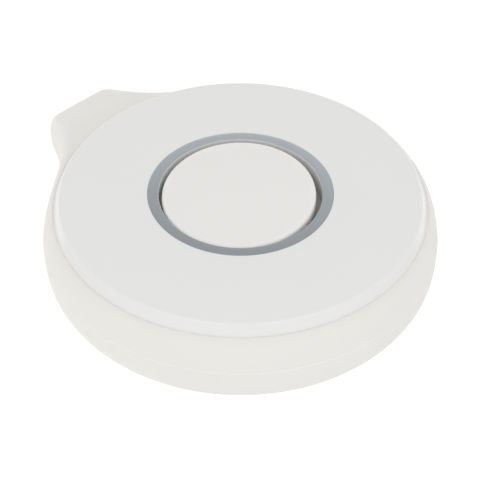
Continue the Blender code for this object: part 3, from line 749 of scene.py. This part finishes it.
def lug_outline(settings, body_radius, angles):
    """Radius of the sleeve's widest outline at each angle, found by halving.

    The outline is a disc joined smoothly to a lug, which lies inside its end and its two flared flanks.
    """
    def outside(radius):
        x, y = radius * np.cos(angles), radius * np.sin(angles)
        flank = (np.abs(x) - settings.lug_width / 2) * math.cos(settings.lug_flare)
        flank += (y - lug_end) * math.sin(settings.lug_flare)
        lug = np.maximum(smooth_max(y - lug_end, flank, settings.lug_corner), -y)
        return -smooth_max(body_radius - radius, -lug, settings.lug_fillet)

    low = np.full_like(angles, body_radius / 2)
    high = np.full_like(angles, lug_end + settings.lug_width)
    for _ in range(OUTLINE_HALVINGS):
        middle = (low + high) / 2
        inside = outside(middle) < 0
        low, high = np.where(inside, middle, low), np.where(inside, high, middle)
    return low


def sleeve_surface(settings):
    """The sleeve's skin as rows by columns of points, closed both ways.

    Each outer row's radius is a rounded-square curve of its height, plus the lug's outline times a
    squarer curve, plus a bell-shaped bead at the parting line. The lug's top falls evenly towards its
    end. The inner rows are plain circles.
    """
    lip_top = front - sizes("cover").rim_drop - settings.lip_gap
    belly, under, seam = settings.belly_height, settings.lug_underside, settings.seam_height
    body_radius = rim_radius + settings.shoulder_width
    bead = np.linspace(*SEAM_SPAN, SEAM_ROWS) * settings.seam_width
    lug_shares = even_shares(settings.lug_power, LUG_ROWS)
    heights = np.concatenate([
        belly + (lip_top - belly) * even_shares(settings.shoulder_power, CURVE_ROWS),
        belly + (lip_top - belly) * lug_shares,
        belly * (1.0 - even_shares(settings.belly_power, CURVE_ROWS)),
        belly - (belly - under) * lug_shares,
        seam + bead,
    ])
    heights = np.unique(np.round(heights, ROW_DECIMALS))[::-1]
    rise = np.clip((heights - belly) / (lip_top - belly), 0.0, 1.0)
    fall = np.clip(1.0 - heights / belly, 0.0, 1.0)
    drop = np.clip((belly - heights) / (belly - under), 0.0, 1.0)
    above = heights > belly
    radius = np.where(
        above,
        rim_radius + settings.shoulder_width * bulge(rise, settings.shoulder_power),
        settings.foot_radius + (body_radius - settings.foot_radius) * bulge(fall, settings.belly_power),
    )
    share = np.where(above, bulge(rise, settings.lug_power), bulge(drop, settings.lug_power))
    way = np.linspace(-1.0, 1.0, SLEEVE_COLUMNS, endpoint=False)
    angles = math.pi / 2 + math.pi * ((1.0 - LUG_CROWDING) * way + LUG_CROWDING * way**3)
    reach = lug_outline(settings, body_radius, angles) - body_radius
    swell = share[:, None] * reach
    level = heights[:, None] - settings.lug_drop * rise[:, None] * swell / reach.max()
    proud = settings.seam_proud * np.exp(-((level - seam) / settings.seam_width) ** 2)
    outer = radius[:, None] + swell + proud
    inner = rounded([
        (settings.foot_radius, 0.0, 0.0),
        (settings.hole_radius, 0.0, settings.lip_rounding),
        (settings.hole_radius, settings.floor, settings.lip_rounding),
        (settings.cavity_radius, settings.floor, settings.lip_rounding),
        (settings.cavity_radius, lip_top, settings.lip_rounding),
        (rim_radius, lip_top, 0.0),
    ], closed=False)[1:-1]
    even = np.ones(SLEEVE_COLUMNS)
    reaches = np.concatenate([outer, inner[:, 0:1] * even])
    levels = np.concatenate([level, inner[:, 1:2] * even])
    return np.stack([reaches * np.cos(angles), reaches * np.sin(angles), levels], axis=2)


def eye_surface(settings):
    """A rounded slot carried through the lug along a straight, a quarter turn and a straight.

    Near each mouth the slot widens by a quarter circle, which rounds the mouth's edge.
    """
    under, mouth = settings.lug_underside, settings.eye_mouth
    centre_y, centre_z = lug_end - settings.eye_inset, under + settings.eye_inset
    bend = settings.eye_bar + settings.eye_height / 2
    inset = np.concatenate([[0.0], mouth * (1.0 - np.cos(np.linspace(0.0, math.pi / 2, EYE_STEPS)))])
    narrowing = np.sqrt(np.maximum(mouth**2 - (mouth - inset) ** 2, 0.0))
    short = np.concatenate([[-EYE_OVERSHOOT], inset])
    widen = np.concatenate([[mouth], mouth - narrowing])
    even = np.ones(len(short))
    turn = np.linspace(math.pi / 2, math.pi, EYE_STEPS)
    y = np.concatenate([lug_end - short, centre_y + bend * np.cos(turn), (centre_y - bend) * even])
    z = np.concatenate([(centre_z + bend) * even, centre_z + bend * np.sin(turn), (under + short)[::-1]])
    tilt = np.concatenate([math.pi / 2 * even, turn, math.pi * even])[:, None]
    grow = np.concatenate([widen, np.zeros(EYE_STEPS), widen[::-1]])[:, None]
    half_width, half_height = settings.eye_width / 2, settings.eye_height / 2
    corners = ((half_width, half_height), (-half_width, half_height),
               (-half_width, -half_height), (half_width, -half_height))
    slot = rounded([(*corner, settings.eye_corner) for corner in corners], closed=True)
    across = slot[:, 0] + np.sign(slot[:, 0]) * grow
    out = slot[:, 1] + np.sign(slot[:, 1]) * grow
    return capped(np.stack([
        across,
        y[:, None] + out * np.cos(tilt),
        z[:, None] + out * np.sin(tilt),
    ], axis=2))


class PUSHBUTTON_OT_soft_sleeve(bpy.types.Operator):
    """Make the soft sleeve with its cord lug"""

    bl_idname = "push_button.soft_sleeve"
    bl_label = "Soft sleeve"

    def execute(self, context):
        settings = sizes("sleeve")
        skin = grid_mesh("soft_sleeve_skin", sleeve_surface(settings), closed=True)
        eye = grid_mesh("eye", eye_surface(settings), closed=False)
        mesh = combine(skin, [eye], "DIFFERENCE")
        finish = soft_moulding("soft_moulding", settings)
        add_piece("sleeve", mesh, finish, "case", "soft_sleeve")
        return {"FINISHED"}


def cover_profile(settings):
    """The cover's section: flat front, sloped rim, skirt with the seal's groove, and the disc's inside.

    The rim bows outwards by a parabola of the share of its slope.
    """
    rim_height = front - settings.rim_drop
    inside = front - settings.wall
    skirt_inner = settings.skirt_radius - settings.skirt_wall
    skirt_end = rim_height - settings.skirt_length
    middle = rim_height - settings.skirt_length / 2
    groove_top, groove_bottom = (middle + side * settings.groove_width / 2 for side in (1, -1))
    floor = settings.skirt_radius - settings.groove
    fine = settings.rim_edge
    lead_in = 3 * fine
    slope = np.array([rim_radius - settings.deck_radius, -settings.rim_drop])
    outwards = np.array([-slope[1], slope[0]]) / np.linalg.norm(slope)
    along = np.linspace(BOW_START, 1.0, CORNER_STEPS, endpoint=False)[:, None]
    bow = 4.0 * along * (1.0 - along) * settings.rim_bow * outwards
    bowed = (settings.deck_radius, front) + along * slope + bow
    return rounded([
        (settings.hole_radius, front, settings.hole_edge),
        (settings.deck_radius, front, settings.edge),
        *((radius, height, 0.0) for radius, height in bowed),
        (rim_radius, rim_height, fine),
        (settings.skirt_radius, rim_height, 0.0),
        (settings.skirt_radius, groove_top, fine),
        (floor, groove_top, fine),
        (floor, groove_bottom, fine),
        (settings.skirt_radius, groove_bottom, fine),
        (settings.skirt_radius, skirt_end, lead_in),
        (skirt_inner, skirt_end, fine),
        (skirt_inner, inside, fine),
        (settings.hole_radius, inside, fine),
    ], closed=True)


class PUSHBUTTON_OT_front_cover(bpy.types.Operator):
    """Make the glossy front cover with its skirt and screw bosses"""

    bl_idname = "push_button.front_cover"
    bl_label = "Front cover"

    def execute(self, context):
        settings = sizes("cover")
        mesh = grid_mesh("cover_disc", turned(cover_profile(settings), TURNED_COLUMNS), closed=True)
        inside = front - settings.wall
        boss_top = inside + settings.wall / 2
        pilot_bottom = cover_low.z - PILOT_OVERSHOOT
        bosses, pilots = [], []
        for k in range(1, SCREWS + 1):
            low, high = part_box(f"screw_{k}")
            middle = (low + high) / 2
            bosses.append(rod(f"boss_{k}", settings.boss_radius, cover_low.z, boss_top, middle))
            pilots.append(rod(f"pilot_{k}", settings.pilot_radius, pilot_bottom, inside, middle))
        mesh = combine(combine(mesh, bosses, "UNION"), pilots, "DIFFERENCE")
        finish = gloss_moulding("gloss_moulding", settings)
        add_piece("cover", mesh, finish, "case", "front_cover")
        return {"FINISHED"}


class PUSHBUTTON_OT_light_ring(bpy.types.Operator):
    """Make the grey light ring with its crowned face, its lip and its light guide"""

    bl_idname = "push_button.light_ring"
    bl_label = "Light ring"

    def execute(self, context):
        settings = sizes("ring")
        outer = settings.inner_radius + settings.width
        lip_top = front - sizes("cover").wall - settings.lip_fit
        step = front - settings.depth
        fine = settings.lip_edge
        # The crown is a parabola across the ring's width
        across = np.linspace(*CROWN_SPAN, RING_STEPS)
        crown_radius = settings.inner_radius + settings.width * (1.0 + across) / 2
        crown_height = front + settings.crown * (1.0 - across**2)
        profile = rounded([
            (settings.inner_radius, front, settings.inner_edge),
            *((radius, height, 0.0) for radius, height in zip(crown_radius, crown_height)),
            (outer, front, settings.outer_edge),
            (outer, lip_top, fine),
            (ring_high.x, lip_top, fine),
            (ring_high.x, lip_top - settings.lip, fine),
            (settings.guide_outer, lip_top - settings.lip, fine),
            (settings.guide_outer, ring_low.z, fine),
            (settings.guide_inner, ring_low.z, fine),
            (settings.guide_inner, step, fine),
            (settings.inner_radius, step, fine),
        ], closed=True)
        mesh = grid_mesh("ring_section", turned(profile, TURNED_COLUMNS), closed=True)
        finish = grey_diffuser("grey_diffuser", settings)
        add_piece("ring", mesh, finish, "case", "light_ring")
        return {"FINISHED"}


class PUSHBUTTON_OT_button(bpy.types.Operator):
    """Make the push button, and the soft seal that flattens under it"""

    bl_idname = "push_button.button"
    bl_label = "Button and seal"

    def execute(self, context):
        settings = sizes("button")
        middle = (button_low + button_high) / 2
        flange_radius = (button_high.x - button_low.x) / 2
        top, bottom = button_high.z - settings.sink, button_low.z
        inside = top - settings.wall
        pusher_end = button_high.z - settings.wall - settings.pusher_length
        wall_inner = settings.radius - settings.wall
        fine = settings.edge / 4
        profile = rounded([
            (0.0, top, 0.0),
            (settings.radius, top, settings.edge),
            (settings.radius, bottom + settings.flange, fine),
            (flange_radius, bottom + settings.flange, fine),
            (flange_radius, bottom, fine),
            (wall_inner, bottom, fine),
            (wall_inner, inside, fine),
            (settings.pusher_radius, inside, fine),
            (settings.pusher_radius, pusher_end, fine),
            (0.0, pusher_end, 0.0),
        ], closed=False)
        grid = turned(profile, TURNED_COLUMNS, middle)
        # The face sinks by the lean's slope times the way to its low side, and less down the wall
        low_side = (grid[..., 0] - middle.x) * math.cos(settings.lean_way)
        low_side += (grid[..., 1] - middle.y) * math.sin(settings.lean_way)
        share = np.clip((grid[..., 2] - inside) / (settings.wall - settings.edge), 0.0, 1.0)
        grid[..., 2] -= math.tan(settings.lean) * share * low_side
        mesh = grid_mesh("button_section", grid, closed=False)
        finish = button_moulding("button_moulding", settings)
        add_piece("button", mesh, finish, "button", "button_cap")
        self.make_seal(settings)
        return {"FINISHED"}

    def make_seal(self, settings):
        """The seal's section is a flat bead, a sloped web and an outer bead, one sheet thick."""
        sheet = settings.seal_sheet
        outer = seal_high.x
        knee = settings.seal_inner + settings.seal_bead
        foot = outer - settings.seal_rim
        low = seal_low.z + sheet
        soft = sheet / 3
        profile = rounded([
            (settings.seal_inner, seal_high.z, soft),
            (knee, seal_high.z, soft),
            (foot, low, soft),
            (outer, low, soft),
            (outer, seal_low.z, soft),
            (foot, seal_low.z, soft),
            (knee, seal_high.z - sheet, soft),
            (settings.seal_inner, seal_high.z - sheet, soft),
        ], closed=True)
        mesh = grid_mesh("seal_section", turned(profile, TURNED_COLUMNS), closed=True)
        finish = seal_rubber("diaphragm_rubber")
        seal = add_piece("diaphragm", mesh, finish, "case", "button_seal")
        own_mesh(seal)


def door_surface(settings):
    """The door from its inside to its face: a turned section, then the face as a height over its plan.

    The face sinks by a smooth step of the distance inside each finger scoop, which a bar parts in two,
    and by a bell-shaped dimple at the shut mark.
    """
    face, plate_top, spigot_top = door_low.z, door_low.z + settings.thickness, door_high.z
    radius = door_high.x
    fine = settings.edge / 3
    section = rounded([
        (0.0, plate_top, 0.0),
        (settings.spigot_inner, plate_top, fine),
        (settings.spigot_inner, spigot_top, fine),
        (settings.spigot_outer, spigot_top, fine),
        (settings.spigot_outer, plate_top, 0.0),
        (settings.groove_inner, plate_top, fine),
        (settings.groove_inner, plate_top - settings.groove, fine),
        (settings.groove_outer, plate_top - settings.groove, fine),
        (settings.groove_outer, plate_top, fine),
        (radius, plate_top, fine),
        (radius, face, settings.edge),
        (0.0, face, 0.0),
    ], closed=False)[:-1]
    back = turned(section, TURNED_COLUMNS)
    plan = np.linspace(section[-1, 0], 0.0, DISH_ROWS)[1:]
    dish = turned(np.stack([plan, np.full_like(plan, face)], axis=1), TURNED_COLUMNS)
    x, y = dish[..., 0], dish[..., 1]
    off_bar = settings.grip_bar / 2 - np.abs(y)
    off_rim = np.hypot(x, y) - settings.grip_radius
    inside = -smooth_max(off_bar, off_rim, settings.grip_corner)
    depth = np.clip(inside / settings.grip_slope, 0.0, 1.0)
    sunk = settings.grip_depth * depth**2 * (3.0 - 2.0 * depth)
    mark = np.hypot(x, y - settings.mark_radius) / settings.mark_size
    lift = sunk + settings.mark_depth * np.exp(-mark**4)
    dish = np.stack([x, y, dish[..., 2] + lift], axis=2)
    return np.concatenate([back, dish])


def tab_surface(settings, middle):
    """One of the door's tabs: a piece of a ring between two radii, two heights and two angles."""
    angles = middle + np.linspace(-0.5, 0.5, EYE_STEPS) * settings.tab_span
    top = door_high.z - settings.tab_drop
    bottom = top - settings.tab_height
    inner = (settings.spigot_inner + settings.spigot_outer) / 2
    outer = settings.spigot_outer + settings.tab_reach
    corners = np.array([(inner, top), (outer, top), (outer, bottom), (inner, bottom)])
    x = corners[:, 0] * np.cos(angles)[:, None]
    y = corners[:, 0] * np.sin(angles)[:, None]
    return capped(np.stack([x, y, np.broadcast_to(corners[:, 1], x.shape)], axis=2))


class PUSHBUTTON_OT_battery_door(bpy.types.Operator):
    """Make the battery door with its finger scoops, tabs and seal ring"""

    bl_idname = "push_button.battery_door"
    bl_label = "Battery door"

    def execute(self, context):
        settings = sizes("door")
        mesh = grid_mesh("door_plate", door_surface(settings), closed=False)
        tabs = []
        for k in range(DOOR_TABS):
            tab = tab_surface(settings, 2 * math.pi * k / DOOR_TABS)
            tabs.append(grid_mesh(f"tab_{k}", tab, closed=False))
        mesh = combine(mesh, tabs, "UNION")
        finish = satin_moulding("door_moulding", settings.tint)
        add_piece("door", mesh, finish, "door", "battery_door")
        for name, node, body in (("door_ring", "door_seal", "door"), ("cover_ring", "cover_seal", "case")):
            # A seal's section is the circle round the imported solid's six sides
            low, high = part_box(node)
            section = (high.z - low.z) / HEXAGON_HEIGHT
            turn = np.linspace(0.0, 2 * math.pi, RING_STEPS, endpoint=False)
            radius = high.x - section + section * np.cos(turn)
            height = (low.z + high.z) / 2 + section * np.sin(turn)
            profile = np.stack([radius, height], axis=1)
            ring = grid_mesh(name, turned(profile, TURNED_COLUMNS), closed=True)
            add_piece(name, ring, seal_rubber(name + "_rubber"), body, node)
        return {"FINISHED"}


class PUSHBUTTON_OT_inner_finishes(bpy.types.Operator):
    """Give each solid that stays its own finish"""

    bl_idname = "push_button.inner_finishes"
    bl_label = "Inner finishes"

    def execute(self, context):
        steel = ((0.50, 0.50, 0.49, 1.0), (0.66, 0.66, 0.65, 1.0))
        gilt = ((0.66, 0.48, 0.18, 1.0), (0.80, 0.63, 0.30, 1.0))
        finishes = {
            "satin_white": satin_moulding("stem_moulding", sizes("button").tint),
            "shell_white": satin_moulding("housing_moulding", sizes("door").tint),
            "board_green": board_green("board_green"),
            "black_resin": black_resin("black_resin"),
            "light_resin": light_resin("light_resin"),
            "tinned_steel": plated_metal("tinned_steel", *steel),
            "gilt_metal": plated_metal("gilt_metal", *gilt),
        }
        for part in frame["record"]["subparts"]:
            finish = finishes.get(part["material_slot"])
            solid = frame["nodes"][part["node"]]
            if finish and not solid.hide_render:
                solid.data.materials.clear()
                solid.data.materials.append(finish)
        return {"FINISHED"}


def add_floor(settings):
    """A round floor that only the camera sees, and only from above: white, with the object's shadow."""
    rim = turned(np.array([(0.0, 0.0), (settings.floor_radius, 0.0)]), SMALL_COLUMNS)
    mesh = grid_mesh("floor", rim, closed=False)
    paint = new_paint("floor")
    sight = paint.node("ShaderNodeLightPath", output="Is Camera Ray")
    behind = paint.node("ShaderNodeNewGeometry", output="Backfacing")
    matt = paint.node("ShaderNodeBsdfDiffuse", None, {"Color": (settings.floor_shade,) * 3 + (1.0,)})
    glow = paint.node("ShaderNodeEmission", None, {"Strength": settings.floor_white})
    lit = paint.node("ShaderNodeAddShader", None, {0: matt, 1: glow})
    clear = paint.node("ShaderNodeBsdfTransparent")
    seen = paint.node("ShaderNodeMixShader", None, {0: sight * (1.0 - behind), 1: clear, 2: lit})
    paint.tree.nodes.remove(paint.tree.nodes["Principled BSDF"])
    mesh.materials.append(paint.finish("Material Output", Surface=seen))
    floor = bpy.data.objects.new("floor", mesh)
    bpy.context.scene.collection.objects.link(floor)


def add_lamp(name, settings, size, brightness, turn, rise):
    """A soft lamp aimed at the front: its power is its brightness times pi times its area."""
    light = bpy.data.lights.new(name, "AREA")
    light.shape = "RECTANGLE"
    light.size, light.size_y = size
    light.energy = brightness * math.pi * light.size * light.size_y
    around = settings.azimuth + turn
    way = Vector((math.sin(around) * math.cos(rise), -math.cos(around) * math.cos(rise), math.sin(rise)))
    lamp = bpy.data.objects.new(name, light)
    lamp.location = Vector((0.0, 0.0, front)) + way * settings.box_distance
    lamp.rotation_euler = (-way).to_track_quat("-Z", "Y").to_euler()
    bpy.context.scene.collection.objects.link(lamp)
    return lamp


def add_lamps(settings):
    """A soft box on either side of the camera, and the warm glow of the table at the far left.

    The glow only lights, because the surroundings already show the table in reflections.
    """
    size = (settings.box_width, settings.box_height)
    for name, side in (("left_box", -1), ("right_box", 1)):
        brightness = settings.box_light * (1.0 - side * settings.box_balance)
        add_lamp(name, settings, size, brightness, side * settings.box_azimuth, settings.box_elevation)
    size = (settings.glow_size, settings.glow_size)
    place = (settings.glow_azimuth, settings.glow_elevation)
    glow = add_lamp("glow", settings, size, settings.glow_light, *place)
    glow.data.color = settings.glow_tint
    glow.visible_glossy = False


def add_surroundings(settings):
    """White surroundings: plain white to the camera, and a table and a backdrop for other rays.

    As light they are the fill, plus the bounce from below. In reflections they are white, apart from the
    table below the horizon and from the low part of the backdrop, which lies away from the camera.
    """
    paint = Paint(bpy.data.worlds.new("surroundings"), "Generated")
    rays = ("Camera", "Glossy")
    camera, gloss = (paint.node("ShaderNodeLightPath", output=f"Is {ray} Ray") for ray in rays)
    height = paint.height()
    below = 1.0 - paint.ramp(height, *TABLE_FADE)
    light = below * settings.bounce + settings.fill
    away = paint.along(-math.sin(settings.azimuth), math.cos(settings.azimuth), 0.0)
    low = paint.ramp(height, *BACKDROP_FOOT) * (1.0 - paint.ramp(height, *BACKDROP_TOP))
    backdrop = low * paint.ramp(away, *BACKDROP_SIDES) * settings.backdrop
    mirrored = below * (settings.table - 1.0) + 1.0 + backdrop
    strength = light + gloss * (mirrored - light)
    strength = strength + camera * (1.0 - strength)
    world = paint.finish("Background", Color=(1.0, 1.0, 1.0, 1.0), Strength=strength)
    bpy.context.scene.world = world


def add_camera(settings):
    """The camera at the photograph's place, looking down past the middle of the front."""
    sideways = Vector((math.sin(settings.azimuth), -math.cos(settings.azimuth), 0.0))
    place = Vector((0.0, 0.0, front))
    place += settings.distance * math.cos(settings.elevation) * sideways
    place.z += settings.distance * math.sin(settings.elevation)
    ahead = -sideways * math.cos(settings.pitch) - Vector((0.0, 0.0, math.sin(settings.pitch)))
    right = ahead.cross(Vector((0.0, 0.0, 1.0))).normalized()
    up = right.cross(ahead)
    lean_right = right * math.cos(settings.roll) + up * math.sin(settings.roll)
    lean_up = up * math.cos(settings.roll) - right * math.sin(settings.roll)
    data = bpy.data.cameras.new("camera")
    data.lens = settings.lens
    data.sensor_width = SENSOR_WIDTH
    data.shift_x = settings.shift
    data.clip_start = CLIP_START
    camera = bpy.data.objects.new("camera", data)
    turn = Matrix((lean_right, lean_up, -ahead)).transposed().to_4x4()
    camera.matrix_world = Matrix.Translation(place) @ turn
    bpy.context.scene.collection.objects.link(camera)
    bpy.context.scene.camera = camera


class PUSHBUTTON_OT_stage(bpy.types.Operator):
    """Set the floor, lights, surroundings and camera"""

    bl_idname = "push_button.stage"
    bl_label = "Stage"

    def execute(self, context):
        settings = sizes("stage")
        add_floor(settings)
        add_surroundings(settings)
        add_lamps(settings)
        add_camera(settings)
        context.scene.view_settings.view_transform = "Standard"
        return {"FINISHED"}


OPERATORS = (
    PUSHBUTTON_OT_soft_sleeve,
    PUSHBUTTON_OT_front_cover,
    PUSHBUTTON_OT_light_ring,
    PUSHBUTTON_OT_button,
    PUSHBUTTON_OT_battery_door,
    PUSHBUTTON_OT_inner_finishes,
    PUSHBUTTON_OT_stage,
)

SETTINGS = {
    "sleeve": SleeveSettings,
    "cover": CoverSettings,
    "ring": RingSettings,
    "button": ButtonSettings,
    "door": DoorSettings,
    "stage": StageSettings,
}


class PUSHBUTTON_PT_pieces(bpy.types.Panel):
    """Lists the pieces of the push button and their settings"""

    bl_idname = "PUSHBUTTON_PT_pieces"
    bl_label = "Push button"
    bl_space_type = "VIEW_3D"
    bl_region_type = "UI"
    bl_category = "Push button"

    def draw(self, context):
        for operator in OPERATORS:
            self.layout.operator(operator.bl_idname)
        for piece, group in SETTINGS.items():
            box = self.layout.box()
            box.label(text=piece.capitalize())
            for name in group.__annotations__:
                box.prop(sizes(piece), name)


def register():
    """Register the classes and hang each settings group on the scene."""
    for piece, group in SETTINGS.items():
        bpy.utils.register_class(group)
        setattr(bpy.types.Scene, "push_button_" + piece, PointerProperty(type=group))
    for kind in (*OPERATORS, PUSHBUTTON_PT_pieces):
        bpy.utils.register_class(kind)


def unregister():
    """Undo what register did."""
    for kind in (PUSHBUTTON_PT_pieces, *reversed(OPERATORS)):
        bpy.utils.unregister_class(kind)
    for piece, group in SETTINGS.items():
        delattr(bpy.types.Scene, "push_button_" + piece)
        bpy.utils.unregister_class(group)


def main():
    """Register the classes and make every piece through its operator."""
    register()
    bpy.ops.push_button.soft_sleeve()
    bpy.ops.push_button.front_cover()
    bpy.ops.push_button.light_ring()
    bpy.ops.push_button.button()
    bpy.ops.push_button.battery_door()
    bpy.ops.push_button.inner_finishes()
    bpy.ops.push_button.stage()


if __name__ == "__main__":
    main()
